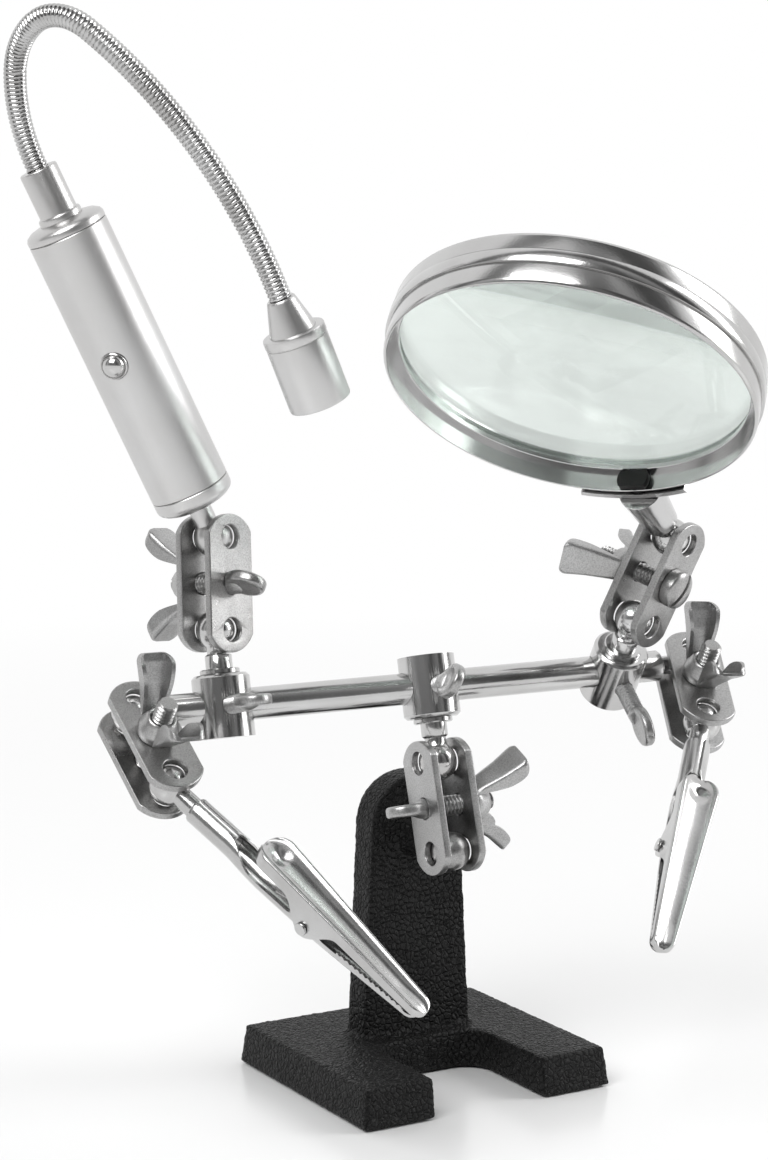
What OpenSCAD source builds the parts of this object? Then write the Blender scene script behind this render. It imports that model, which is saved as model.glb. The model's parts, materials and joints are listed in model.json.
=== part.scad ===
// Helping hands clamp: a weighted base, a cross rod on ball clamps, two spring clips,
// a magnifier and a battery light. Each piece is a separate solid.
// Origin: centre of the base's underside. +Z up, -Y is the front, where the clips point.

/* [Base] */
// Width of the foot, left to right
foot_w = 54; // [48:1:60]
// Depth of the foot, front to back
foot_d = 50; // [46:1:56]
// Height of the foot
foot_h = 7.7; // [6:0.1:10]
// Width of the notch between the two front toes
notch_w = 23.5; // [16:0.5:28]
// Depth of the notch
notch_d = 24.5; // [18:0.5:25]
// Radius in the notch's inner corners
notch_r = 6; // [3:0.5:8]
// How far the foot's sides lean in over its height
draft = 0.9; // [0.4:0.1:1.4]
// Radius of the upright's round top
upright_r = 10; // [8:0.5:12]
// Height of the upright's top above the table
upright_h = 58.5; // [50:0.5:64]
// Thickness of the upright
upright_t = 7.5; // [6:0.5:10]
// Place of the upright's front face
upright_y = 2.5; // [1:0.5:4]
// Centre of the cast ball in front of the upright
base_ball = [0, -10.6, 46];

/* [Ball clamps] */
// Length of a clamp plate
plate_l = 25.4; // [24:0.2:27]
// Width of a clamp plate
plate_w = 10.8; // [10:0.2:12]
// Thickness of a clamp plate
plate_t = 1.5; // [1.2:0.1:1.8]
// Distance between a plate's two ball holes
ball_pitch = 17; // [16:0.5:18]
// Gap between the two plates of a clamp
plate_gap = 6; // [5.6:0.1:6.4]
// Diameter of the balls
ball_d = 7.3; // [7:0.05:7.35]
// Diameter of a ball hole in a plate
ball_hole_d = 4.4; // [4:0.1:4.4]
// Diameter of the clamp screws
screw_d = 3.9; // [3:0.1:4]

// Width of a wing nut's wing
wing_w = 6.6; // [5.6:0.1:7.2]
// Length of a wing
wing_l = 13.4; // [10:0.2:14]
// Angle at which a wing leans out
wing_lean = 32; // [20:1:35]

/* [Cross rod and blocks] */
// Diameter of the cross rod
rod_d = 6; // [5:0.1:6.5]
// Distance from the centre block to the rod's left ball
rod_left = 58.5; // [54:0.5:62]
// Distance from the centre block to the rod's right ball
rod_right = 55; // [52:0.5:60]
// Distance from the centre block to the left block
left_place = 41; // [34:0.5:42]
// Distance from the centre block to the right block
right_place = 39; // [32:0.5:40]
// Diameter of a block
block_d = 10.8; // [10:0.2:12]
// Height of a block
block_h = 11.7; // [10:0.1:13]
// Distance from a block's centre to its ball
stud_l = 14.1; // [13.5:0.1:16]
// Reach of the centre, left and right thumb screws from their rod
thumb_reach = [11, 17, 15];

/* [Magnifier] */
// Outer diameter of the ring
ring_d = 68; // [60:0.2:70]
// Depth of the ring
ring_h = 10; // [8:0.5:12]
// Distance from the magnifier's ball to the ring's centre line
ring_reach = 52.8; // [51:0.5:56]
// How far the post sits from the ring's mid-plane
post_offset = 3; // [2:0.5:3]

/* [Light] */
// Diameter of the battery tube
tube_d = 14.8; // [14:0.1:16]
// Length of the battery tube
tube_l = 51.6; // [48:0.2:56]
// Distance from the light's ball to the tail seam
tail_l = 10.3; // [10:0.1:12]
// Diameter of the gooseneck
neck_d = 4; // [3.6:0.1:4.4]
// Bends of the gooseneck from the collar on: [radius, angle]
neck_bends = [[28.9, 36], [16.7, 39.7], [10.6, 68.6], [80, 20], [76, 20.4]];
// Diameter of the lamp barrel
lamp_d = 11; // [10:0.5:12]
// Length of the lamp barrel
lamp_l = 13.7; // [12:0.1:16]
// Angle of the push button round the tube
button_turn = -24.7; // [-40:0.1:40]

/* [Clips] */
// Distance from a clip's ball to the jaw tips
clip_l = 62; // [58:0.5:64]
// Distance from a clip's ball to its pivot
pivot_z = 37; // [35:0.5:38]
// Diameter of the clip's barrel
barrel_d = 5; // [4.6:0.1:5.4]

/* [Pose] */
// Turn of the centre clamp about X, Y and Z
centre_clamp_set = [16, 0, 180];
// Turn of the cross rod
rod_set = [0, -1, -8];
// Tilt of the centre, left and right blocks about the rod
block_tilt = [165, -13, 37];
// Turn of the light clamp
light_clamp_set = [-5, -6, -72];
// Turn of the light
light_set = [22.5, -12, -71.9];
// Turn of the magnifier clamp
lens_clamp_set = [-18, 17, -71];
// Turn of the magnifier
lens_set = [-53, 4, 122];
// Turn of the left and right end clamps
end_clamp_set = [[-177, -51, -90], [166, -56, -98]];
// Turn of the left and right clips
clip_set = [[124, -16, 17], [122, 25, -29]];

/* [Hidden] */
$fn = 64;
run = 0.05;      // radial clearance of a running fit
e = 0.01;        // small overlap for clean cuts
steel = "silver";
iron = "dimgray";

// vector v turned the way rotate(a) turns a shape
function turned(v, a) = let (
    p = [v.x, v.y * cos(a.x) - v.z * sin(a.x), v.y * sin(a.x) + v.z * cos(a.x)],
    q = [p.x * cos(a.y) + p.z * sin(a.y), p.y, p.z * cos(a.y) - p.x * sin(a.y)])
  [q.x * cos(a.z) - q.y * sin(a.z), q.x * sin(a.z) + q.y * cos(a.z), q.z];
function tilted(i) = [block_tilt[i], rod_set.y, rod_set.z];

pitch_v = [0, 0, ball_pitch];
stud_v = [0, 0, stud_l];
centre_top = base_ball + turned(pitch_v, centre_clamp_set);
centre_at = centre_top - turned(stud_v, tilted(0));
rod_v = turned([1, 0, 0], rod_set);
left_at = centre_at - left_place * rod_v;
right_at = centre_at + right_place * rod_v;
light_low = left_at + turned(stud_v, tilted(1));
light_ball = light_low + turned(pitch_v, light_clamp_set);
lens_low = right_at + turned(stud_v, tilted(2));
lens_ball = lens_low + turned(pitch_v, lens_clamp_set);
end_ball = [centre_at - rod_left * rod_v, centre_at + rod_right * rod_v];
clip_ball = [for (i = [0, 1]) end_ball[i] + turned(pitch_v, end_clamp_set[i])];

ball_r = ball_d / 2;
ring_r = ring_d / 2;
lens_r = ring_r - 1.7;
tube_r = tube_d / 2;
collar_l = 12.3;
neck_z = tail_l + tube_l + collar_l;
neck_r = neck_d / 2;
switch_z = tail_l + tube_l * 0.53;

module put(at, set) { translate(at) rotate(set) children(); }
module along_x() { rotate([0, 90, 0]) children(); }

// ---------- base ----------
module foot_outline() {
  difference() {
    translate([-foot_w / 2, -foot_d / 2]) square([foot_w, foot_d]);
    translate([-notch_w / 2, -foot_d / 2 - 1]) square([notch_w, notch_d + 1 - notch_r]);
    translate([-notch_w / 2 + notch_r, -foot_d / 2 + notch_d - notch_r - 1])
      square([notch_w - 2 * notch_r, notch_r + 1]);
    for (s = [-1, 1]) translate([s * (notch_w / 2 - notch_r), -foot_d / 2 + notch_d - notch_r])
      circle(r = notch_r);
  }
}

// a big block whose face leans in over the foot's height, to plane one side
module draft_cut(half) {
  translate([half, -50, 0]) rotate([0, -atan(draft / foot_h), 0]) translate([0, 0, -5]) cube([20, 100, 30]);
}

module base_casting() {
  color("black") {
    difference() {
      linear_extrude(foot_h) foot_outline();
      for (a = [0, 180]) rotate([0, 0, a]) draft_cut(foot_w / 2);
      for (a = [90, 270]) rotate([0, 0, a]) draft_cut(foot_d / 2);
    }
    translate([0.6, upright_y + upright_t, foot_h - 1]) rotate([90, 0, 0]) linear_extrude(upright_t) {
      translate([0, upright_h - upright_r - foot_h + 1]) circle(r = upright_r);
      polygon([[-upright_r - 2, 0], [upright_r + 2, 0],
        [upright_r, upright_h - upright_r - foot_h + 1], [-upright_r, upright_h - upright_r - foot_h + 1]]);
    }
  }
  color(iron) translate(base_ball) {
    sphere(r = ball_r);
    rotate([-90, 0, 0]) cylinder(d = 4.8, h = upright_y - base_ball.y + 0.5);
    translate([0, 7, 0]) rotate([-90, 0, 0]) cylinder(d = 6.5, h = upright_y - base_ball.y - 6.5);
  }
}

// ---------- ball clamps ----------
// Clamp frame: first ball at the origin, second ball up +Z, plates square to X.
module plate_outline() {
  end_r = plate_w * 0.56;
  intersection() {
    square([plate_w, plate_l], center = true);
    union() {
      square([plate_w, plate_l - 2 * end_r], center = true);
      for (s = [-1, 1]) translate([0, s * (plate_l / 2 - end_r)]) circle(r = end_r);
    }
  }
}

// side is 1 for the plate on +X and -1 for the one on -X
module clamp_plate(side) {
  color(steel) translate([side * (plate_gap + plate_t) / 2, 0, ball_pitch / 2]) along_x()
    rotate([0, 0, 90]) translate([0, 0, -plate_t / 2]) difference() {
      linear_extrude(plate_t) plate_outline();
      for (s = [-1, 1]) translate([0, s * ball_pitch / 2, -1]) cylinder(d = ball_hole_d, h = plate_t + 2);
      translate([0, 0, -1]) cylinder(r = screw_d / 2 + run, h = plate_t + 2);
    }
}

screw_out = plate_gap / 2 + plate_t;   // outer face of a plate, from the clamp's middle
nut_h = 2.6;
nut_gap = 0.1;

// thumb screw head: a round flat paddle on the +X end
module paddle(at, r = 4.2, t = 2.2) {
  translate([at, 0, 0]) intersection() {
    rotate([90, 0, 0]) cylinder(r = r, h = t, center = true);
    sphere(r = r * 1.01);
  }
}

module slotted_head() {
  difference() {
    intersection() {
      translate([screw_out, 0, 0]) along_x() cylinder(r = 3.7, h = 3.2);
      translate([screw_out - 4.8, 0, 0]) sphere(r = 8);
    }
    translate([screw_out + 1.9, -5, -0.5]) cube([3, 10, 1]);
  }
}

// head on the side given, tip through the wing nut on the other
module clamp_screw(side, flat, turn = 0, tip = 8) {
  color(steel) translate([0, 0, ball_pitch / 2]) mirror([side > 0 ? 0 : 1, 0, 0]) rotate([turn, 0, 0]) {
    translate([-screw_out - tip, 0, 0]) along_x() cylinder(d = screw_d, h = 2 * screw_out + tip + 0.5);
    if (flat) {
      difference() {
        paddle(screw_out + 3.6);
        translate([screw_out - 10, -5, -5]) cube([10, 10, 10]);
      }
    } else slotted_head();
  }
}

// one pressed wing of a wing nut: a channel, open towards the screw, that leans out from the hub
module wing() {
  rotate([0, wing_lean, 0]) difference() {
    union() {
      translate([0, -wing_w / 2, 0]) cube([2.4, wing_w, wing_l - wing_w / 2]);
      translate([0, 0, wing_l - wing_w / 2]) along_x() cylinder(d = wing_w, h = 2.4);
    }
    translate([-1, -wing_w / 2 + 0.8, -1]) cube([2.6, wing_w - 1.6, wing_l - wing_w / 2 + 1]);
    translate([-1, 0, wing_l - wing_w / 2]) along_x() cylinder(d = wing_w - 1.6, h = 2.6);
  }
}

// wing nut on the clamp's side given, its wings up and down after turn
module wing_nut(side, turn = 0) {
  color(steel) translate([0, 0, ball_pitch / 2]) mirror([side > 0 ? 0 : 1, 0, 0]) rotate([turn, 0, 0])
    translate([screw_out + nut_gap, 0, 0]) along_x() difference() {
      union() {
        cylinder(d = 7.6, h = nut_h);
        difference() {
          for (a = [0, 180]) rotate([0, 0, a]) translate([1.7, 0, 0.4]) wing();
          translate([0, 0, -5]) cylinder(r = 20, h = 5);
        }
      }
      translate([0, 0, -1]) cylinder(r = screw_d / 2 + run, h = 16);
    }
}

// ---------- rod, blocks and studs ----------
// Block frame: rod along X, stud up +Z, thumb screw on the -Y side, or +Y when side is -1.
module rod_block(side = 1) {
  color(steel) difference() {
    translate([0, 0, -block_h / 2]) union() {
      cylinder(d = block_d, h = block_h - 0.6);
      translate([0, 0, block_h - 0.6]) cylinder(d1 = block_d, d2 = block_d - 1.2, h = 0.6);
    }
    translate([-10, 0, 0]) along_x() cylinder(r = rod_d / 2 + run, h = 20);
    rotate([side * 90, 0, 0]) cylinder(r = 1.75 + run, h = 10);
    translate([0, 0, block_h / 2 - 2]) cylinder(d = 3, h = 3);
  }
}

module stud() {
  color(steel) {
    translate([0, 0, block_h / 2 - 1.9]) cylinder(d = 2.98, h = 2);
    translate([0, 0, block_h / 2]) cylinder(d = 7.4, h = 1);
    translate([0, 0, block_h / 2]) cylinder(d = 5.2, h = 2.3);
    translate([0, 0, block_h / 2 + 2.3]) cylinder(d1 = 5.2, d2 = 3.3, h = 0.8);
    translate([0, 0, block_h / 2 + 3]) cylinder(d = 3.3, h = stud_l - block_h / 2 - 3);
    translate([0, 0, stud_l]) sphere(r = ball_r);
  }
}

module thumb_screw(reach, turn, side = 1) {
  color(steel) rotate([0, 0, side * -90]) rotate([turn, 0, 0]) {
    translate([rod_d / 2 + 0.1, 0, 0]) along_x() cylinder(r = 1.75, h = reach - rod_d / 2 - 2);
    paddle(reach, t = 2);
  }
}

module cross_rod() {
  neck_l = 6.8;   // from a ball's centre to the full rod
  color(steel) {
    translate([-rod_left + neck_l, 0, 0]) along_x() cylinder(d = rod_d, h = rod_left + rod_right - 2 * neck_l);
    translate([-rod_left + neck_l - 0.8, 0, 0]) along_x() cylinder(d1 = 3.6, d2 = rod_d, h = 0.8);
    translate([rod_right - neck_l, 0, 0]) along_x() cylinder(d1 = rod_d, d2 = 3.6, h = 0.8);
    translate([-rod_left, 0, 0]) along_x() cylinder(d = 3.6, h = rod_left + rod_right);
    for (x = [-rod_left, rod_right]) translate([x, 0, 0]) sphere(r = ball_r);
  }
}

// ---------- clips ----------
// Clip frame: ball at the origin, jaws along +Z, lever on the +Y side, pivot along X.
jaw_y = -0.4;
pivot_y = -0.4;
barrel_z = 7;
barrel_end = 18;
tail_z = 26;
tail_y = 4.2;
lever_lean = atan((tail_y - 0.3) / (clip_l - 1 - tail_z));
lever_w = 3.75;
jaw_w = 2.9;
pin_r = 0.8;

module clip_stud() {
  color(steel) {
    sphere(r = ball_r);
    cylinder(d = 3.9, h = barrel_end - 1);
  }
}

// half of a tapered round shell, open towards +Y, from r1 to r2 along +Z
module half_shell(r1, r2, l, t) {
  difference() {
    cylinder(r1 = r1, r2 = r2, h = l);
    translate([0, 0, -e]) cylinder(r1 = r1 - t, r2 = r2 - t, h = l + 2 * e);
    translate([-10, 0, -1]) cube([20, 20, l + 2]);
  }
}

module clip_jaw() {
  l = clip_l - barrel_end - 1.9;
  color(steel) difference() {
    union() {
      difference() {
        translate([0, 0, barrel_z]) cylinder(d = barrel_d, h = barrel_end - barrel_z + 2);
        translate([-10, jaw_y, barrel_end]) cube([20, 20, 3]);
      }
      translate([0, jaw_y, barrel_end]) half_shell(barrel_d / 2, jaw_w, 7, 0.6);
      translate([0, jaw_y, barrel_end + 7]) half_shell(jaw_w, jaw_w, 15, 0.6);
      translate([0, jaw_y, barrel_end + 22]) half_shell(jaw_w, 2.0, l - 22, 0.6);
      translate([0, jaw_y, clip_l - 1.9]) intersection() {
        sphere(r = 2.0);
        translate([-3, -3, 0]) cube([6, 3, 3]);
      }
      for (s = [-1, 1]) translate([s * (jaw_w - 0.3) - 0.3, 0, pivot_z]) rotate([0, 90, 0]) {
        translate([0, pivot_y, 0]) cylinder(r = 1.7, h = 0.6);
        translate([-1.7, jaw_y - 1.2, 0]) cube([3.4, 1.2, 0.6]);
      }
      jaw_teeth();
    }
    translate([0, 0, -1]) cylinder(r = 1.95 + run, h = barrel_end + 1);
    translate([-0.6, 0, barrel_z - 1]) cube([1.2, 5, barrel_end - barrel_z + 4]);
    translate([-10, pivot_y, pivot_z]) along_x() cylinder(r = pin_r, h = 20);
  }
}

// a row of teeth across the jaw, each as wide as the shell is there
tooth = 1.2;
teeth_z = clip_l - 17.6;
module jaw_teeth() {
  for (i = [0 : 12]) {
    shell_r = jaw_w - (jaw_w - 2) * (teeth_z + i * tooth - barrel_end - 22) / (clip_l - barrel_end - 23.9);
    half = shell_r - 0.4;
    translate([-half, jaw_y, teeth_z + i * tooth]) rotate([0, 90, 0]) linear_extrude(2 * half)
      polygon([[0.05, -0.95], [0.05, -0.5], [-tooth / 2, 0.3], [-tooth - 0.05, -0.5], [-tooth - 0.05, -0.95]]);
  }
}

module clip_lever() {
  l = norm([clip_l - 1 - tail_z, tail_y - 0.3]);
  color(steel) difference() {
    union() {
      translate([0, tail_y, tail_z]) rotate([lever_lean, 0, 0]) mirror([0, 1, 0]) {
        half_shell(lever_w, 2.1, l, 0.6);
        intersection() {
          difference() {
            sphere(r = lever_w);
            sphere(r = lever_w - 0.6);
          }
          translate([-5, -5, -5]) cube([10, 5, 5]);
        }
        translate([0, 0, l]) intersection() {
          sphere(r = 2.1);
          translate([-3, -3, 0]) cube([6, 3, 3]);
        }
      }
      for (s = [-1, 1]) translate([s * (jaw_w + 0.35) - 0.25, 0, pivot_z]) rotate([0, 90, 0]) {
        translate([0, pivot_y, 0]) cylinder(r = 1.8, h = 0.5);
        translate([0, pivot_y, 0]) linear_extrude(0.5)
          polygon([[-1.8, 0], [1.8, 0], [3.6, 4], [3.6, 4.4], [-4.6, 4.4], [-4.6, 3.6]]);
      }
    }
    translate([-10, pivot_y, pivot_z]) along_x() cylinder(r = pin_r + run, h = 20);
  }
}

module clip_pin() {
  color("gray") translate([0, pivot_y, pivot_z]) {
    translate([-3.6, 0, 0]) along_x() cylinder(r = pin_r, h = 7.2);
    for (s = [-1, 1]) translate([s * 3.85 - 0.25, 0, 0]) along_x() cylinder(r = 1.2, h = 0.5);
  }
}

// torsion spring: close turns round the pin, as one sleeve, and a leg to each half
module clip_spring() {
  wire = 0.5;
  turns = 4;
  coil_r = 1.3;
  wall = 0.66;
  leg_l = 9;
  half = turns * wire / 2;
  color("gray") translate([0, pivot_y, pivot_z]) {
    difference() {
      translate([-half, 0, 0]) along_x() cylinder(r = coil_r + wall / 2, h = 2 * half);
      translate([-half - 1, 0, 0]) along_x() cylinder(r = coil_r - wall / 2, h = 2 * half + 2);
    }
    translate([0.35 - half, coil_r, 0]) rotate([180 - 14, 0, 0]) cylinder(d = wire, h = leg_l);
    translate([half - 0.35, -coil_r, 0]) rotate([180 + 3, 0, 0]) cylinder(d = wire, h = leg_l);
  }
}

// ---------- magnifier ----------
// Magnifier frame: ball at the origin, post up +Z, ring round the Y axis.
ring_c = [0, -post_offset, ring_reach];
module on_ring() { translate(ring_c) rotate([-90, 0, 0]) children(); }
lens_z = ring_h / 2 - 1.1;   // the lens's mid-plane, from the ring's far edge
seat = 1.3;                  // from the lens's mid-plane to the shoulder on each side

module magnifier_ring() {
  color(steel) difference() {
    on_ring() rotate_extrude($fn = 128) translate([0, -ring_h / 2]) polygon([
      [ring_r - 1.2, 0], [ring_r - 0.8, 0], [ring_r - 0.3, 0.6], [ring_r - 0.3, ring_h * 0.34],
      [ring_r, ring_h * 0.37], [ring_r, ring_h * 0.6], [ring_r - 0.5, ring_h * 0.63],
      [ring_r - 0.5, ring_h - 0.6], [ring_r - 0.9, ring_h], [ring_r - 1.2, ring_h],
      [ring_r - 1.2, lens_z + seat + 0.9], [ring_r - 2.5, lens_z + seat + 0.9],
      [ring_r - 2.5, lens_z + seat], [ring_r - 1.2, lens_z + seat]]);
    translate([0, 0, 10]) cylinder(r = 1.55, h = 20);
  }
}

// inner ring that holds the lens against the band's turned edge
module magnifier_retainer() {
  color(steel) difference() {
    on_ring() rotate_extrude($fn = 128) translate([0, -ring_h / 2]) polygon([
      [ring_r - 2.5, lens_z - seat - 1], [ring_r - 1.2 - run, lens_z - seat - 1],
      [ring_r - 1.2 - run, lens_z - seat], [ring_r - 2.5, lens_z - seat]]);
  }
}

module magnifier_lens() {
  edge = 2;
  bulge = 2.6;
  big = (lens_r * lens_r + bulge * bulge) / (2 * bulge);
  color([0.8, 0.9, 0.85, 0.5]) on_ring() translate([0, 0, -ring_h / 2 + lens_z])
    intersection() {
      cylinder(r = lens_r, h = 20, center = true, $fn = 128);
      translate([0, 0, edge / 2 + bulge - big]) sphere(r = big, $fn = 200);
      translate([0, 0, big - edge / 2 - bulge]) sphere(r = big, $fn = 200);
    }
}

saddle_t = 1.1;
module magnifier_saddle() {
  color(steel) difference() {
    on_ring() rotate([0, 0, 90 - 17.5]) rotate_extrude(angle = 35, $fn = 128)
      translate([ring_r + 0.03, post_offset - 3]) square([saddle_t, 5.2]);
    cylinder(r = 1.55, h = 30);
  }
}

post_top = ring_reach - ring_r - saddle_t - 0.1;
module magnifier_post() {
  color(steel) difference() {
    union() {
      sphere(r = ball_r);
      cylinder(d = 3.8, h = 6.5);
      translate([0, 0, 6]) cylinder(d1 = 6.6, d2 = 8.6, h = post_top - 6);
    }
    translate([0, 0, post_top - 4]) cylinder(r = 1.5, h = 5);
  }
}

module magnifier_screw() {
  color("black") {
    translate([0, 0, post_top - 3.9]) cylinder(r = 1.48, h = ring_reach - ring_r + 1.6 - post_top + 3.9);
    translate([0, 0, ring_reach - ring_r + 1.4]) intersection() {
      cylinder(r = 3, h = 1.3);
      cube([8, 3.6, 4], center = true);
    }
  }
}

// ---------- light ----------
// Light frame: ball at the origin, tube along +Z, gooseneck bending towards +X.
module light_tail_cap() {
  color(steel) {
    sphere(r = ball_r);
    cylinder(d = 4.2, h = 7.5);
    translate([0, 0, 6.9]) cylinder(d1 = 10, d2 = tube_d, h = 1.4);
    translate([0, 0, 8.3]) cylinder(d = tube_d, h = tail_l - 8.3);
    translate([0, 0, tail_l]) cylinder(r = tube_r - 1.0 - run, h = 3);
  }
}

module light_tube() {
  color(steel) difference() {
    translate([0, 0, tail_l + 0.1]) cylinder(d = tube_d, h = tube_l - 0.2);
    translate([0, 0, tail_l]) cylinder(r = tube_r - 1.0, h = tube_l + 1);
    translate([0, 0, switch_z]) rotate([90, 0, -button_turn]) cylinder(r = 2.5 + run, h = 20);
  }
}

module light_collar() {
  color(steel) difference() {
    union() {
      translate([0, 0, neck_z - collar_l - 3]) cylinder(r = tube_r - 1.0 - run, h = 3.1);
      translate([0, 0, neck_z - collar_l]) cylinder(d = tube_d, h = 0.8);
      translate([0, 0, neck_z - collar_l + 0.8]) cylinder(d1 = tube_d, d2 = 8, h = 1.6);
      translate([0, 0, neck_z - collar_l + 2.4]) cylinder(d = 7, h = collar_l - 2.6);
      translate([0, 0, neck_z - collar_l + 2.4]) cylinder(d = 8, h = 1.2);
    }
    translate([0, 0, neck_z - 5]) cylinder(r = neck_r, h = 20);
  }
}

module light_button() {
  color(steel) translate([0, 0, switch_z]) rotate([90, 0, -button_turn]) {
    translate([0, 0, tube_r - 3.4]) cylinder(r = 2.5, h = 4);
    translate([0, 0, tube_r + 0.6]) intersection() {
      translate([0, 0, -2.1]) sphere(r = 3.25);
      cylinder(r = 2.5, h = 2);
    }
  }
}

module light_switch() {
  color("dimgray") translate([0, 0, switch_z]) rotate([90, 0, -button_turn]) {
    translate([-3, -4, -3]) cube([6, 8, tube_r - 1.5]);
  }
}

// three coin cells in a row below the switch
module light_cells() {
  color("lightgray") for (i = [0 : 2]) translate([0, 0, tail_l + 3.6 + i * 5.5]) cylinder(d = 11.6, h = 5.4);
}

// the gooseneck's bends follow one another: heading and place at the start of bend i
function bend_head(i) = i == 0 ? 0 : bend_head(i - 1) + neck_bends[i - 1][1];
function bend_at(i) = i == 0 ? [0, 0, neck_z] : let (
    r = neck_bends[i - 1][0], h0 = bend_head(i - 1), h1 = bend_head(i))
  bend_at(i - 1) + r * [cos(h0) - cos(h1), 0, sin(h1) - sin(h0)];
module at_bend(i) { translate(bend_at(i)) rotate([0, bend_head(i), 0]) children(); }

// one bend: the ball at its far end sits in a conical cup in the next bend, and a fine
// cross hole in the ball marks the axis that it bends about
module neck_bend(i) {
  r = neck_bends[i][0];
  a = neck_bends[i][1];
  last = len(neck_bends) - 1;
  ball_r = neck_r + 0.05;
  cup_z = (ball_r + run) * sqrt(2);   // apex of a right-angled cone round the ball
  color(steel) difference() {
    union() {
      at_bend(i) translate([r, 0, 0]) rotate([90, 0, 180]) mirror([0, 0, 1])
        rotate_extrude(angle = a, $fn = 360) translate([r, 0]) circle(r = neck_r, $fn = 32);
      if (i < last) translate(bend_at(i + 1)) sphere(r = ball_r);
      if (i == 0) translate([0, 0, neck_z - 4.9]) cylinder(r = neck_r - 0.1, h = 5.5);
    }
    if (i > 0) at_bend(i) translate([0, 0, -cup_z]) cylinder(r1 = 2 * cup_z, r2 = 0, h = 2 * cup_z);
    if (i < last) translate(bend_at(i + 1)) rotate([90, 0, 0]) cylinder(d = 0.8, h = 10, center = true);
  }
}

lamp_at = len(neck_bends);
module lamp_head() {
  color(steel) at_bend(lamp_at) difference() {
    union() {
      translate([0, 0, 0.02]) cylinder(d1 = 5, d2 = 8.5, h = 6);
      translate([0, 0, 6]) cylinder(d = lamp_d, h = lamp_l);
    }
    translate([0, 0, 12]) cylinder(r = lamp_d / 2 - 1, h = 20);
    translate([0, 0, 8]) cylinder(r = 2.55, h = 20);
  }
}

module lamp_led() {
  color("white") at_bend(lamp_at) {
    translate([0, 0, 8.1]) cylinder(r = 2.5, h = 7);
    translate([0, 0, 15.1]) sphere(r = 2.5);
  }
}

// ---------- pieces ----------
base_casting();
put(base_ball, centre_clamp_set) clamp_plate(1);  // centre_plate_left
put(base_ball, centre_clamp_set) clamp_plate(-1);  // centre_plate_right
put(base_ball, centre_clamp_set) clamp_screw(1, true, 90);  // centre_clamp_screw
put(base_ball, centre_clamp_set) wing_nut(-1, -40);  // centre_wing_nut
put(centre_at, tilted(0)) rod_block(-1);  // centre_block
put(centre_at, tilted(0)) stud();  // centre_stud
put(centre_at, tilted(0)) thumb_screw(thumb_reach[0], -30, -1);  // centre_thumb_screw
put(centre_at, rod_set) cross_rod();
put(left_at, tilted(1)) rod_block();  // left_block
put(left_at, tilted(1)) stud();  // left_stud
put(left_at, tilted(1)) thumb_screw(thumb_reach[1], 90);  // left_thumb_screw
put(right_at, tilted(2)) rod_block();  // right_block
put(right_at, tilted(2)) stud();  // right_stud
put(right_at, tilted(2)) thumb_screw(thumb_reach[2], 10);  // right_thumb_screw
put(light_low, light_clamp_set) clamp_plate(1);  // light_plate_front
put(light_low, light_clamp_set) clamp_plate(-1);  // light_plate_rear
put(light_low, light_clamp_set) clamp_screw(1, true, 60);  // light_clamp_screw
put(light_low, light_clamp_set) wing_nut(-1, 0);  // light_wing_nut
put(lens_low, lens_clamp_set) clamp_plate(1);  // lens_plate_right
put(lens_low, lens_clamp_set) clamp_plate(-1);  // lens_plate_left
put(lens_low, lens_clamp_set) clamp_screw(1, false, 20);  // lens_clamp_screw
put(lens_low, lens_clamp_set) wing_nut(-1, -70);  // lens_wing_nut
put(end_ball[0], end_clamp_set[0]) clamp_plate(1);  // left_end_plate_upper
put(end_ball[0], end_clamp_set[0]) clamp_plate(-1);  // left_end_plate_lower
put(end_ball[0], end_clamp_set[0]) clamp_screw(-1, false);  // left_end_screw
put(end_ball[0], end_clamp_set[0]) wing_nut(1, -5);  // left_end_wing_nut
put(end_ball[1], end_clamp_set[1]) clamp_plate(1);  // right_end_plate_upper
put(end_ball[1], end_clamp_set[1]) clamp_plate(-1);  // right_end_plate_lower
put(end_ball[1], end_clamp_set[1]) clamp_screw(-1, false);  // right_end_screw
put(end_ball[1], end_clamp_set[1]) wing_nut(1, 8);  // right_end_wing_nut
put(clip_ball[0], clip_set[0]) clip_stud();  // left_clip_stud
put(clip_ball[0], clip_set[0]) clip_jaw();  // left_clip_jaw
put(clip_ball[0], clip_set[0]) clip_lever();  // left_clip_lever
put(clip_ball[0], clip_set[0]) clip_pin();  // left_clip_pin
put(clip_ball[0], clip_set[0]) clip_spring();  // left_clip_spring
put(clip_ball[1], clip_set[1]) clip_stud();  // right_clip_stud
put(clip_ball[1], clip_set[1]) clip_jaw();  // right_clip_jaw
put(clip_ball[1], clip_set[1]) clip_lever();  // right_clip_lever
put(clip_ball[1], clip_set[1]) clip_pin();  // right_clip_pin
put(clip_ball[1], clip_set[1]) clip_spring();  // right_clip_spring
put(lens_ball, lens_set) magnifier_ring();
put(lens_ball, lens_set) magnifier_retainer();
put(lens_ball, lens_set) magnifier_lens();
put(lens_ball, lens_set) magnifier_saddle();
put(lens_ball, lens_set) magnifier_post();
put(lens_ball, lens_set) magnifier_screw();
put(light_ball, light_set) light_tail_cap();
put(light_ball, light_set) light_tube();
put(light_ball, light_set) light_collar();
put(light_ball, light_set) light_button();
put(light_ball, light_set) light_switch();
put(light_ball, light_set) light_cells();
put(light_ball, light_set) neck_bend(0);  // gooseneck_1
put(light_ball, light_set) neck_bend(1);  // gooseneck_2
put(light_ball, light_set) neck_bend(2);  // gooseneck_3
put(light_ball, light_set) neck_bend(3);  // gooseneck_4
put(light_ball, light_set) neck_bend(4);  // gooseneck_5
put(light_ball, light_set) lamp_head();
put(light_ball, light_set) lamp_led();
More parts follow.
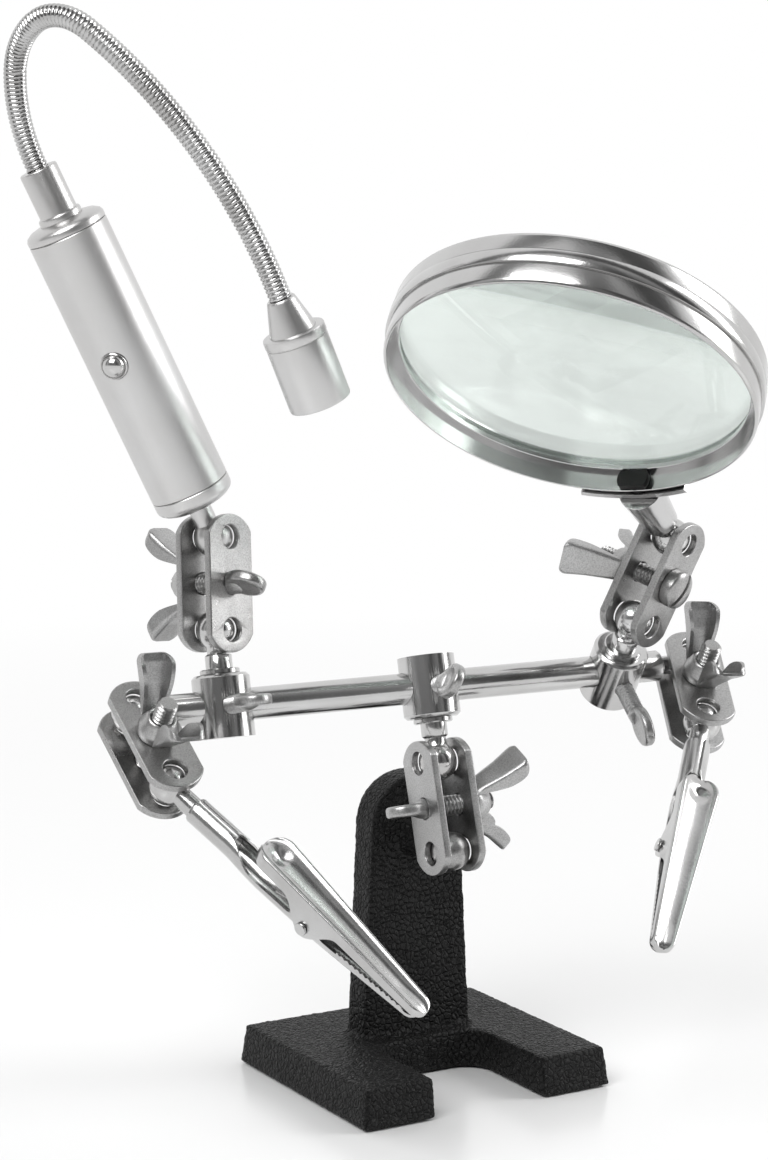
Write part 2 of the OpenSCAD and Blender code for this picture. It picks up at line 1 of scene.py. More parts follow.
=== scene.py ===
"""The looks of the helping hands clamp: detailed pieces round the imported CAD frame.

Pieces are drawn in millimetres in the same local frames as the CAD uses, and those
frames are worked out from the record's joints and from the CAD nodes themselves.
"""
import json
import math

import bmesh
import bpy
import numpy as np
from mathutils import Matrix, Vector


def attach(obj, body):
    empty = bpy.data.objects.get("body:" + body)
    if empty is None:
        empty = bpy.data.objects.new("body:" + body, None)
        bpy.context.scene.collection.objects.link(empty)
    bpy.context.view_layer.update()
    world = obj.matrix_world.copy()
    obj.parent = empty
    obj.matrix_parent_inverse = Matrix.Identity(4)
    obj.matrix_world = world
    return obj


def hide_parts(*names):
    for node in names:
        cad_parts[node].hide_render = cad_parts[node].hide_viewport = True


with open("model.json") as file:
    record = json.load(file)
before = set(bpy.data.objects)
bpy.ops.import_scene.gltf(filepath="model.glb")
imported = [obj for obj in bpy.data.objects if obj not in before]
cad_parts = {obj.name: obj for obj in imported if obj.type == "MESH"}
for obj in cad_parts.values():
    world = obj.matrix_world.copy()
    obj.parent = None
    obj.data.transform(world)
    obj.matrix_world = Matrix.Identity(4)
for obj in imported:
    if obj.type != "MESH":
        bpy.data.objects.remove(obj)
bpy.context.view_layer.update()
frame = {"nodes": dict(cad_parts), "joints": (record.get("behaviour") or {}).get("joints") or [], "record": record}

MM = 0.001
JOINTS = {j["name"]: j for j in frame["joints"]}
SLOTS = {s["node"]: s["material_slot"] for s in frame["record"]["subparts"]}
BODIES = frame["record"]["behaviour"]["bodies"]
BODY_OF = {node: body for body, nodes in BODIES.items() for node in nodes}


# ---------- places, from the frame ----------
def joint_pos(name):
    return Vector(JOINTS[name]["pos_m"])


def joint_axis(name):
    return Vector(JOINTS[name]["axis"]).normalized()


def place(origin, x, z):
    """The matrix from millimetres in a piece's own frame to metres in the row frame."""
    z = Vector(z).normalized()
    x = Vector(x)
    x = (x - z * x.dot(z)).normalized()
    turn = Matrix((x, z.cross(x), z)).transposed().to_4x4()
    turn.translation = origin
    return turn @ Matrix.Scale(MM, 4)


def node_points(node):
    return np.array([v.co for v in frame["nodes"][node].data.vertices])


def spread(points):
    """The points' centre, and the directions they spread along, least first."""
    centre = (points.max(0) + points.min(0)) / 2
    _, vectors = np.linalg.eigh(np.cov((points - points.mean(0)).T))
    return Vector(centre), [Vector(vectors[:, i]) for i in range(3)]


def across(node, at, axis, beyond, flat):
    """The direction square to axis in which a screw's head is thinnest, or a nut is widest."""
    points = node_points(node)
    along = (points - np.array(at)) @ np.array(axis)
    points = points[along > beyond * MM]
    points = points - np.outer((points - np.array(at)) @ np.array(axis), np.array(axis))
    _, vectors = np.linalg.eigh(np.cov(points.T))
    return Vector(vectors[:, 1 if flat else 2])


# ---------- meshes ----------
def finish_piece(obj, node, material, extra=()):
    """Puts a piece on its node's body, in place of the node."""
    obj.data.materials.clear()
    obj.data.materials.append(material)
    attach(obj, BODY_OF[node])
    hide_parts(node, *extra)
    return obj


def new_mesh(name, parts, matrix, smooth=35):
    """One object from (points, faces) parts in millimetres."""
    points, faces = [], []
    for part_points, part_faces in parts:
        shift = len(points)
        points += [tuple(p) for p in part_points]
        faces += [tuple(i + shift for i in f) for f in part_faces]
    mesh = bpy.data.meshes.new(name)
    mesh.from_pydata(points, [], faces)
    mesh.transform(matrix)
    obj = bpy.data.objects.new(name, mesh)
    bpy.context.collection.objects.link(obj)
    tidy_normals(mesh)
    shade(obj, smooth)
    return obj


def tidy_normals(mesh):
    bm = bmesh.new()
    bm.from_mesh(mesh)
    bmesh.ops.remove_doubles(bm, verts=bm.verts, dist=1e-7)
    bmesh.ops.recalc_face_normals(bm, faces=bm.faces)
    bm.to_mesh(mesh)
    bm.free()


def shade(obj, angle):
    """Smooth shading with sharp edges kept above the angle."""
    mesh = obj.data
    mesh.polygons.foreach_set("use_smooth", [True] * len(mesh.polygons))
    mesh.set_sharp_from_angle(angle=math.radians(angle))


def grid(rows, loop=True, caps=True):
    """Faces over rows of points. loop closes each row, and caps close the two ends."""
    rows = [list(r) for r in rows]
    n, m = len(rows), len(rows[0])
    points = [p for row in rows for p in row]
    faces = []
    for i in range(n - 1):
        for j in range(m if loop else m - 1):
            k = (j + 1) % m
            faces.append((i * m + j, i * m + k, (i + 1) * m + k, (i + 1) * m + j))
    if loop and caps:
        faces.append(tuple(reversed(range(m))))
        faces.append(tuple(range((n - 1) * m, n * m)))
    return points, faces


def lathe(profile, sides=64, closed=False):
    """A turned shape from (radius, height) points. closed joins the profile's ends, as in a ring."""
    tiny = 1e-4
    rows = []
    for r, z in profile + (profile[:1] if closed else []):
        rows.append([(max(r, tiny) * math.cos(a), max(r, tiny) * math.sin(a), z)
                     for a in np.linspace(0, 2 * math.pi, sides, endpoint=False)])
    return grid(rows, caps=not closed)


def arc(cx, cz, r, start, end, steps=8):
    """Profile points on an arc, its angles in degrees from the radius direction."""
    return [(cx + r * math.cos(math.radians(a)), cz + r * math.sin(math.radians(a)))
            for a in np.linspace(start, end, steps + 1)]


def ball(r, z=0.0, start=-90, end=90, steps=20):
    return arc(0, z, r, start, end, steps)


def hump(x, half):
    """A smooth bump, 1 in the middle and 0 from half away."""
    return math.cos(math.pi / 2 * min(1.0, abs(x) / half)) ** 2


def turned(part, matrix):
    """A part's points moved by a matrix."""
    points, faces = part
    return [tuple(matrix @ Vector(p)) for p in points], faces


def threaded(r, pitch, low, high, sides=32, tip=0.5):
    """A screw thread along +Z: a cylinder whose radius follows the helix."""
    depth = 0.61 * pitch
    steps = int((high - low) / pitch * 8) + 1
    rows = []
    for z in np.linspace(low, high, steps):
        row = []
        for a in np.linspace(0, 2 * math.pi, sides, endpoint=False):
            phase = (z / pitch - a / (2 * math.pi)) % 1.0
            height = abs(2 * phase - 1)
            rr = r - depth * min(1.0, max(0.0, 1.25 * height - 0.12))
            edge = min(z - low, high - z)
            rr = min(rr, r - tip + edge) if edge < tip else rr
            row.append((rr * math.cos(a), rr * math.sin(a), z))
        rows.append(row)
    return grid(rows)


def softened(node, material, width=0.25, segments=2, angle=28):
    """A copy of a CAD node with its edges broken."""
    source = frame["nodes"][node]
    obj = source.copy()
    obj.data = source.data.copy()
    obj.name = node + "_soft"
    obj.parent = None
    obj.hide_render = False
    obj.hide_viewport = False
    bpy.context.collection.objects.link(obj)
    bm = bmesh.new()
    bm.from_mesh(obj.data)
    bmesh.ops.remove_doubles(bm, verts=bm.verts, dist=2e-6)
    bmesh.ops.dissolve_limit(bm, angle_limit=math.radians(0.7), verts=bm.verts, edges=bm.edges)
    bm.to_mesh(obj.data)
    bm.free()
    bevel = obj.modifiers.new("edges", "BEVEL")
    bevel.width = width * MM
    bevel.segments = segments
    bevel.limit_method = "ANGLE"
    bevel.angle_limit = math.radians(angle)
    bevel.harden_normals = False
    apply_modifiers(obj)
    shade(obj, 32)
    flat_normals(obj)
    return finish_piece(obj, node, material)


def apply_modifiers(obj):
    graph = bpy.context.evaluated_depsgraph_get()
    graph.update()
    mesh = bpy.data.meshes.new_from_object(obj.evaluated_get(graph))
    obj.modifiers.clear()
    obj.data = mesh


def flat_normals(obj):
    """Lets the large flat faces set the normals, so that only the edges look round."""
    weighted = obj.modifiers.new("weighted", "WEIGHTED_NORMAL")
    weighted.keep_sharp = True
    weighted.weight = 100
    apply_modifiers(obj)


def flat_plate(outlines, thickness, bevel):
    """A flat plate with rounded edges, in the XY plane, from closed outlines: the outside, then holes."""
    curve = bpy.data.curves.new("outline", "CURVE")
    curve.dimensions = "2D"
    curve.fill_mode = "BOTH"
    curve.extrude = thickness / 2 - bevel
    curve.bevel_depth = bevel
    curve.bevel_resolution = 2
    curve.offset = -bevel
    for outline in outlines:
        spline = curve.splines.new("POLY")
        spline.points.add(len(outline) - 1)
        spline.points.foreach_set("co", [c for x, y in outline for c in (x, y, 0, 1)])
        spline.use_cyclic_u = True
    obj = bpy.data.objects.new("outline", curve)
    bpy.context.collection.objects.link(obj)
    graph = bpy.context.evaluated_depsgraph_get()
    graph.update()
    mesh = bpy.data.meshes.new_from_object(obj.evaluated_get(graph))
    part = [tuple(v.co) for v in mesh.vertices], [tuple(p.vertices) for p in mesh.polygons]
    bpy.data.objects.remove(obj)
    bpy.data.meshes.remove(mesh)
    bpy.data.curves.remove(curve)
    return part


def circle(cx, cy, r, steps=40):
    return [(cx + r * math.cos(a), cy + r * math.sin(a))
            for a in np.linspace(0, 2 * math.pi, steps, endpoint=False)]


# ---------- materials ----------
class Nodes:
    """A small helper that adds nodes to a material's tree and links them."""

    def __init__(self, name):
        self.material = bpy.data.materials.new(name)
        self.material.use_nodes = True
        self.tree = self.material.node_tree
        self.shader = self.tree.nodes["Principled BSDF"]
        self.coords = self.tree.nodes.new("ShaderNodeTexCoord").outputs["Object"]

    def add(self, kind, **values):
        node = self.tree.nodes.new(kind)
        for key, value in values.items():
            if key in node.inputs.keys():
                node.inputs[key].default_value = value
            else:
                setattr(node, key, value)
        return node

    def link(self, a, b):
        self.tree.links.new(a, b)

    def noise(self, scale, detail=3.0, rough=0.5):
        node = self.add("ShaderNodeTexNoise", Scale=scale, Detail=detail, Roughness=rough)
        self.link(self.coords, node.inputs["Vector"])
        return node.outputs["Fac"]

    def cells(self, scale, feature="F1", jitter=1.0, out="Distance"):
        node = self.add("ShaderNodeTexVoronoi", Scale=scale, Randomness=jitter, feature=feature)
        self.link(self.coords, node.inputs["Vector"])
        return node.outputs[out]

    def span(self, value, low, high, a=0.0, b=1.0):
        node = self.add("ShaderNodeMapRange")
        node.inputs["From Min"].default_value = a
        node.inputs["From Max"].default_value = b
        node.inputs["To Min"].default_value = low
        node.inputs["To Max"].default_value = high
        self.link(value, node.inputs["Value"])
        return node.outputs["Result"]

    def mix(self, fac, a, b):
        node = self.add("ShaderNodeMix", data_type="RGBA")
        for socket, value in ((node.inputs[0], fac), (node.inputs[6], a), (node.inputs[7], b)):
            if hasattr(value, "is_output"):
                self.link(value, socket)
            else:
                socket.default_value = value
        return node.outputs[2]

    def bump(self, height, distance, strength=1.0, under=None):
        node = self.add("ShaderNodeBump", Distance=distance, Strength=strength)
        self.link(height, node.inputs["Height"])
        if under is not None:
            self.link(under, node.inputs["Normal"])
        return node.outputs["Normal"]

    def set(self, **values):
        for key, value in values.items():
            socket = self.shader.inputs[key.replace("_", " ")]
            if hasattr(value, "is_output"):
                self.link(value, socket)
            else:
                socket.default_value = value
        return self


def grey(level, warm=0.0):
    return (level * (1 + warm), level, level * (1 - warm), 1)


def metal(name, dark, light, rough, grain, relief, blotch=60.0, speck=0.0):
    """Bare or plated metal: cloudy tone, uneven gloss, a fine grain, and specks for a blasted face."""
    n = Nodes(name)
    cloud = n.noise(blotch, 5.0, 0.6)
    fine = n.noise(grain, 2.0)
    colour = n.mix(n.span(cloud, 0.0, 1.0, 0.35, 0.65), grey(dark, 0.01), grey(light))
    if speck:
        colour = n.mix(n.span(fine, speck, 0.0, 0.36, 0.58), colour, grey(0.45 * dark))
    n.set(Base_Color=colour, Metallic=1.0, Roughness=n.span(cloud, rough[0], rough[1], 0.3, 0.7))
    n.set(Normal=n.bump(fine, relief * MM))
    return n.material


def crackle_paint():
    n = Nodes("black_crackle")
    cells = n.cells(900.0, "DISTANCE_TO_EDGE")
    wrinkles = n.span(cells, 0.0, 1.0, 0.0, 0.22)
    grain = n.noise(2600.0, 4.0, 0.6)
    cloud = n.noise(120.0, 4.0)
    colour = n.mix(wrinkles, grey(0.003), grey(0.011))
    colour = n.mix(n.span(cloud, 0.0, 0.3, 0.4, 0.7), colour, grey(0.016))
    n.set(Base_Color=colour, Roughness=n.span(grain, 0.3, 0.62, 0.3, 0.7), Specular_IOR_Level=0.2)
    n.set(Normal=n.bump(grain, 0.2 * MM, 0.8, n.bump(wrinkles, 0.35 * MM, 1.0)))
    return n.material


def lens_glass():
    n = Nodes("lens_glass")
    n.set(Base_Color=n.mix(n.noise(30.0), (0.93, 0.98, 0.955, 1), (0.95, 0.99, 0.97, 1)))
    n.set(Roughness=n.span(n.noise(300.0), 0.0, 0.02), IOR=1.47, Transmission_Weight=1.0)
    # light that passes straight through, which keeps the lens's rim from going black
    clear = n.add("ShaderNodeBsdfTransparent", Color=(0.93, 0.985, 0.955, 1))
    mixed = n.add("ShaderNodeMixShader", Fac=0.35)
    n.link(n.shader.outputs[0], mixed.inputs[1])
    n.link(clear.outputs[0], mixed.inputs[2])
    n.link(mixed.outputs[0], n.tree.nodes["Material Output"].inputs["Surface"])
    return n.material


def plain_plastic(name, colour, rough):
    n = Nodes(name)
    fine = n.noise(2500.0, 3.0)
    n.set(Base_Color=n.mix(n.noise(200.0), colour, tuple(c * 0.9 for c in colour[:3]) + (1,)))
    n.set(Roughness=n.span(fine, rough, rough + 0.08), Normal=n.bump(fine, 0.01 * MM))
    return n.material


MATERIALS = {
    "black_crackle": crackle_paint(),
    "nickel_plate": metal("nickel_plate", 0.38, 0.54, (0.26, 0.42), 4200.0, 0.018, speck=0.45),
    "bright_chrome": metal("bright_chrome", 0.50, 0.64, (0.12, 0.22), 2400.0, 0.008, 25.0),
    "clip_plate": metal("clip_plate", 0.46, 0.60, (0.15, 0.27), 1800.0, 0.012, 45.0),
    "satin_aluminium": metal("satin_aluminium", 0.56, 0.62, (0.30, 0.38), 5200.0, 0.012, 30.0),
    "neck_steel": metal("neck_steel", 0.42, 0.56, (0.10, 0.20), 900.0, 0.006, 80.0),
    "lens_glass": lens_glass(),
    "led_plastic": plain_plastic("led_plastic", (0.85, 0.86, 0.8, 1), 0.12),
    "dark_plastic": plain_plastic("dark_plastic", (0.03, 0.03, 0.03, 1), 0.4),
    "black_oxide": metal("black_oxide", 0.03, 0.06, (0.25, 0.4), 900.0, 0.03),
    "cell_steel": metal("cell_steel", 0.6, 0.72, (0.15, 0.25), 900.0, 0.01),
}


def paint(node):
    return MATERIALS[SLOTS[node]]


# ---------- pieces ----------
BALL_R = 3.65
BOSS_Z = 7.0          # where the base's boss starts, behind its ball
CAST_STEP = 0.42      # the casting's mesh
CRACKLE_SIZE, CRACKLE_DEPTH = 1.15, 0.3
GRIT_SIZE, GRIT_DEPTH = 0.9, 0.2


def build_base():
    """The casting: rounded edges from a remesh, the paint's crackle as real relief, and a bare ball."""
    source = frame["nodes"]["base_casting"]
    obj = source.copy()
    obj.data = source.data.copy()
    obj.name = "base_casting_cast"
    bpy.context.collection.objects.link(obj)
    at = joint_pos("centre_clamp_tilt")
    bare = place(at, (1, 0, 0), (0, 1, 0))
    carve(obj, new_mesh("cut", [box_part(-6, 6, -8, 8, -6, BOSS_Z)], bare))
    remesh = obj.modifiers.new("remesh", "REMESH")
    remesh.mode = "VOXEL"
    remesh.voxel_size = CAST_STEP * MM
    smooth = obj.modifiers.new("round", "SMOOTH")
    smooth.factor = 0.5
    smooth.iterations = 24
    texture = bpy.data.textures.new("crackle", "VORONOI")
    texture.noise_scale = CRACKLE_SIZE * MM
    texture.distance_metric = "DISTANCE"
    texture.weight_1 = -1.0
    texture.weight_2 = 1.0
    lumps = obj.modifiers.new("crackle", "DISPLACE")
    lumps.texture = texture
    lumps.texture_coords = "LOCAL"
    lumps.strength = CRACKLE_DEPTH * MM
    lumps.mid_level = 0.5
    grit = bpy.data.textures.new("grit", "CLOUDS")
    grit.noise_scale = GRIT_SIZE * MM
    rough = obj.modifiers.new("grit", "DISPLACE")
    rough.texture = grit
    rough.texture_coords = "LOCAL"
    rough.strength = GRIT_DEPTH * MM
    rough.mid_level = 0.5
    apply_modifiers(obj)
    shade(obj, 180)
    finish_piece(obj, "base_casting", paint("base_casting"))
    knob_profile = ball(BALL_R, 0, -90, 49) + [(2.4, 3.1), (2.4, BOSS_Z + 0.4)]
    knob = new_mesh("base_ball_bare", [lathe(knob_profile)], bare)
    knob.data.materials.append(MATERIALS["nickel_plate"])
    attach(knob, "base")
    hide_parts("base_casting")


def turned_piece(node, matrix, *profiles, sides=96, closed=False, smooth=35):
    parts = [lathe(profile, sides, closed) for profile in profiles]
    return finish_piece(new_mesh(node + "_turned", parts, matrix, smooth), node, paint(node))


def middle(node):
    points = node_points(node)
    return Vector((points.max(0) + points.min(0)) / 2)


# each clamp: the joints at its two balls, its plates on +X and -X, and its screw and wing nut,
# with the side the screw's head is on and the turn of a slotted head's slot
CLAMPS = {
    "centre": ("centre_clamp_tilt", "centre_block_turn", "centre_plate_left", "centre_plate_right",
               "centre_clamp_screw", "centre_wing_nut", 1, None),
    "light": ("light_clamp_tilt", "light_tilt", "light_plate_front", "light_plate_rear",
              "light_clamp_screw", "light_wing_nut", 1, None),
    "lens": ("lens_clamp_tilt", "magnifier_tilt", "lens_plate_right", "lens_plate_left",
             "lens_clamp_screw", "lens_wing_nut", 1, 75),
    "left_end": ("left_end_clamp_tilt", "left_clip_tilt", "left_end_plate_upper", "left_end_plate_lower",
                 "left_end_screw", "left_end_wing_nut", -1, 0),
    "right_end": ("right_end_clamp_tilt", "right_clip_tilt", "right_end_plate_upper",
                  "right_end_plate_lower", "right_end_screw", "right_end_wing_nut", -1, 0),
}
PITCH = 17.0          # between a clamp's balls
PLATE_IN = 3.0        # a plate's inner face, from the clamp's middle
PLATE_T = 1.5
PLATE_W, PLATE_L = 10.8, 25.4
SCREW_OUT = PLATE_IN + PLATE_T
SCREW_R = 1.95
SCREW_TIP = 8.0       # how far a slotted screw reaches past the plates
SPADE_TIP = 5.6       # and a screw with a thumb head
SPADE_R = 4.2
CLAMP_SPADE_T, THUMB_SPADE_T = 2.2, 2.0
CYCLE = Matrix(((0, 0, 1, 0), (1, 0, 0, 0), (0, 1, 0, 0), (0, 0, 0, 1)))     # X to Y, Y to Z, Z to X


def clamp_frame(first, second, plus, minus):
    origin = joint_pos(first)
    return place(origin, middle(plus) - middle(minus), joint_pos(second) - origin)


def plate_outline():
    end_r = PLATE_W * 0.56
    low = math.degrees(math.acos(PLATE_W / 2 / end_r))
    half = arc(0, PLATE_L / 2 - end_r, end_r, low, 180 - low, 20)
    return half + [(-x, -y) for x, y in half]


def build_plate(node, frame_matrix, side):
    holes = [circle(0, s * PITCH / 2, 2.2) for s in (-1, 1)] + [circle(0, 0, SCREW_R + 0.06)]
    plate = flat_plate([plate_outline()] + holes, PLATE_T, 0.24)
    at = Matrix.Translation((side * (PLATE_IN + PLATE_T / 2), 0, PITCH / 2)) @ CYCLE
    obj = new_mesh(node + "_pressed", [turned(plate, at)], frame_matrix, 40)
    flat_normals(obj)
    finish_piece(obj, node, paint(node))


def spade(reach, radius, thick, cut):
    """A forged thumb head in the XZ plane, longer than wide and hollowed on both faces, cut off below."""
    half = thick / 2
    face = [(1.0, 0.35), (0.985, 0.62), (0.94, 0.86), (0.86, 0.98), (0.76, 1.0),
            (0.66, 0.92), (0.52, 0.74), (0.36, 0.62), (0.18, 0.58), (0.0, 0.57)]
    lower = [(radius * r, -half * h) for r, h in reversed(face)]
    upper = [(radius * r, half * h) for r, h in face]
    points, faces = lathe(lower + upper, 64)
    points = [(x * 0.8, z, max(reach + y, cut)) for x, y, z in points]
    return points, [tuple(reversed(f)) for f in faces]


def screw_neck(low, high, r, thick):
    """The swelling where a round shank is forged into its flat head."""
    rows = []
    for t in np.linspace(0, 1, 9):
        wide = r + 1.1 * math.sin(t * math.pi / 2)
        deep = r + (thick / 2 * 0.7 - r) * t * t
        rows.append([(wide * math.cos(a), deep * math.sin(a), low + (high - low) * t)
                     for a in np.linspace(0, 2 * math.pi, 32, endpoint=False)])
    return grid(rows)


def carve(obj, cutter):
    """Takes the cutter's shape out of a piece."""
    cut = obj.modifiers.new("cut", "BOOLEAN")
    cut.operation = "DIFFERENCE"
    cut.solver = "EXACT"
    cut.object = cutter
    apply_modifiers(obj)
    bpy.data.objects.remove(cutter)


def box_part(x0, x1, y0, y1, z0, z1):
    row = [(x0, y0), (x1, y0), (x1, y1), (x0, y1)]
    return grid([[(x, y, z) for x, y in row] for z in (z0, z1)])


def build_clamp_screw(node, frame_matrix, side, slot_turn):
    axis = (frame_matrix.to_3x3() @ Vector((side, 0, 0))).normalized()
    at = frame_matrix @ Vector((0, 0, PITCH / 2))
    tip = SPADE_TIP if slot_turn is None else SCREW_TIP
    shank = threaded(SCREW_R, 0.8, -SCREW_OUT - tip, SCREW_OUT + 0.3)
    if slot_turn is None:
        thin = across(node, at, axis, SCREW_OUT + 0.5, True)
        matrix = place(at, axis.cross(thin), axis)
        head = spade(SCREW_OUT + 3.6, SPADE_R, CLAMP_SPADE_T, SCREW_OUT + 0.05)
        neck = screw_neck(SCREW_OUT + 0.02, SCREW_OUT + 2.2, SCREW_R, CLAMP_SPADE_T)
        obj = new_mesh(node + "_spade", [shank, head, neck], matrix, 50)
    else:
        along = (frame_matrix.to_3x3() @ Vector((0, 1, 0))).normalized()
        along = Matrix.Rotation(math.radians(slot_turn * side), 3, axis) @ along
        matrix = place(at, along, axis)
        top = [(r, SCREW_OUT - 4.8 + math.sqrt(64 - r * r)) for r in (3.45, 3.0, 2.2, 1.2, 0)]
        head = lathe([(0, SCREW_OUT), (3.4, SCREW_OUT), (3.62, SCREW_OUT + 0.12), (3.7, SCREW_OUT + 0.4),
                      (3.7, SCREW_OUT + 2.0), (3.62, SCREW_OUT + 2.25)] + top)
        obj = new_mesh(node + "_head", [head], matrix, 35)
        carve(obj, new_mesh("slot", [box_part(-6, 6, -0.5, 0.5, SCREW_OUT + 1.9, SCREW_OUT + 5)], matrix))
        edge = obj.modifiers.new("edges", "BEVEL")
        edge.width = 0.1 * MM
        edge.segments = 2
        edge.angle_limit = math.radians(40)
        apply_modifiers(obj)
        shank_obj = new_mesh("shank", [shank], matrix, 50)
        join(obj, shank_obj)
        shade(obj, 40)
    finish_piece(obj, node, paint(node))


def join(obj, other):
    """Adds another object's mesh, made in the same frame, to an object."""
    bm = bmesh.new()
    bm.from_mesh(obj.data)
    bm.from_mesh(other.data)
    bm.to_mesh(obj.data)
    bm.free()
    bpy.data.objects.remove(other)


NUT_AT = SCREW_OUT + 0.1
WING_LEAN = math.radians(33)
WING_L = 12.6
WING_HALF = 3.3       # half of a wing's width at its end
WING_CORNER = 1.3
FLANGE = 2.4          # how far a wing's flanges reach in at their deepest


def wing_rows():
    """Sections of one pressed wing: a strip that widens outward, with a lobed flange at each side."""
    rows = []
    flat = WING_L - WING_CORNER
    stops = list(np.linspace(-0.4, flat, 30))
    stops += [flat + WING_CORNER * math.sin(a) for a in np.linspace(0.12, 1.45, 10)]
    for v in stops:
        grow = min(max(v / 11.0, 0.0), 1.0)
        half = 1.9 + (WING_HALF - 1.9) * grow
        past = max(0.0, v - flat) / WING_CORNER
        half -= WING_CORNER * (1 - math.sqrt(max(1 - past * past, 0.0)))
        curl = 0.7 * max(0.0, v - 7.5) / 5.5        # the end leans out a little more
        gauge = 0.75 - 0.3 * past
        t = min(max((v - 0.8) / (WING_L - 0.8), 0.0), 1.0)
        deep = gauge + FLANGE * t ** 1.3 * (1 - t) ** 0.5 / 0.337
        outer, inner = [], []
        for k in np.linspace(-1, 1, 33):
            fold = max(0.0, abs(k) - 0.5) / 0.5
            wide = min(1.0, abs(k) / 0.5) - 0.1 * hump(abs(k) - 0.5, 0.12)
            drop = deep * fold + 0.16 * hump(abs(k) - 0.5, 0.12)
            outer.append((1.95 + curl - drop, math.copysign(half * wide, k), v))
            inner.append((1.95 + curl - gauge * (1 - fold) - deep * fold,
                          math.copysign((half - gauge) * min(1.0, abs(k) / 0.5), k), v))
        rows.append(outer + inner[::-1])
    return rows


def build_wing_nut(node, frame_matrix, side):
    axis = (frame_matrix.to_3x3() @ Vector((side, 0, 0))).normalized()
    at = frame_matrix @ Vector((0, 0, PITCH / 2))
    wings = across(node, at, axis, SCREW_OUT + 4, False)
    matrix = place(at + axis * NUT_AT * MM, wings, axis)
    bore = SCREW_R + 0.05
    hub = lathe([(bore, 0), (3.65, 0), (3.8, 0.2), (3.8, 1.5), (3.7, 1.8), (3.45, 2.4), (3.1, 3.2),
                 (2.85, 3.8), (2.6, 4.1), (2.35, 4.15), (bore, 3.9)], 56, True)
    tilt = Matrix.Translation((1.55, 0, 0.5)) @ Matrix.Rotation(WING_LEAN, 4, "Y")
    wing = grid(wing_rows())
    other = Matrix.Rotation(math.pi, 4, "Z") @ tilt
    obj = new_mesh(node + "_pressed", [hub, turned(wing, tilt), turned(wing, other)], matrix, 48)
    finish_piece(obj, node, paint(node))


def build_clamps():
    for first, second, plus, minus, screw, nut, side, slot in CLAMPS.values():
        matrix = clamp_frame(first, second, plus, minus)
        build_plate(plus, matrix, 1)
        build_plate(minus, matrix, -1)
        build_clamp_screw(screw, matrix, side, slot)
        build_wing_nut(nut, matrix, -side)


# ---------- rod, studs and thumb screws ----------
BLOCK_H = 11.7
STUD_L = 14.1
ROD_R = 3.0
# block: thumb screw, joint at the block's middle, joint at its stud's ball, stud, screw's reach
BLOCKS = (
    ("centre_thumb_screw", "centre_thumb_turn", "centre_block_turn", "centre_stud", 11),
    ("left_thumb_screw", "left_thumb_turn", "light_clamp_tilt", "left_stud", 17),
    ("right_thumb_screw", "right_thumb_turn", "lens_clamp_tilt", "right_stud", 15),
)


def build_blocks():
    rod = joint_axis("rod_slide")
    top = BLOCK_H / 2
    for screw, at_joint, ball_joint, stud, reach in BLOCKS:
        at = joint_pos(at_joint)
        turned_piece(stud, place(at, rod, joint_pos(ball_joint) - at),
                     [(0, top - 1.9), (1.45, top - 1.9), (1.45, top), (3.5, top), (3.7, top + 0.2),
                      (3.7, top + 0.8), (3.5, top + 1), (2.5, top + 1.05), (2.5, top + 3.4),
                      (2.4, top + 3.55), (2.05, top + 3.8), (2.0, top + 4.2), (2.15, top + 5.3)]
                     + ball(BALL_R, STUD_L, -53.9, 90))
        axis = joint_axis(at_joint)
        if (middle(screw) - at).dot(axis) < 0:
            axis = -axis
        thin = across(screw, at, axis, reach - 2.5, True)
        shank = threaded(1.75, 0.7, ROD_R + 0.1, reach - 3.2, tip=0.3)
        head = spade(reach, SPADE_R, THUMB_SPADE_T, reach - 9)
        neck = screw_neck(reach - 3.5, reach - 1.6, 1.72, THUMB_SPADE_T)
        obj = new_mesh(screw + "_spade", [shank, head, neck], place(at, axis.cross(thin), axis), 50)
        finish_piece(obj, screw, paint(screw))


def build_rod():
    rod = joint_axis("rod_slide")
    ends = [joint_pos("left_end_clamp_tilt"), joint_pos("right_end_clamp_tilt")]
    if (ends[1] - ends[0]).dot(rod) < 0:
        ends.reverse()
    length = (ends[1] - ends[0]).length / MM
    one = ball(BALL_R, 0, -90, 60.5) + [(1.8, 3.4), (1.8, 5.9), (ROD_R - 0.15, 6.65), (ROD_R, 6.9)]
    other = [(r, length - z) for r, z in reversed(one)]
    turned_piece("cross_rod", place(ends[0], Vector((0, 0, 1)), ends[1] - ends[0]), one + other)


# ---------- the light ----------
TUBE_R = 7.4
TAIL_L, TUBE_L, COLLAR_L = 10.3, 51.6, 12.3
NECK_Z = TAIL_L + TUBE_L + COLLAR_L
NECK_R = 2.02
RIB = 0.8              # between the gooseneck's ridges
GROOVE = 0.3


def light_frame():
    return place(joint_pos("light_tilt"), joint_axis("neck_bend_2").cross(joint_axis("light_turn")),
                 joint_axis("light_turn"))


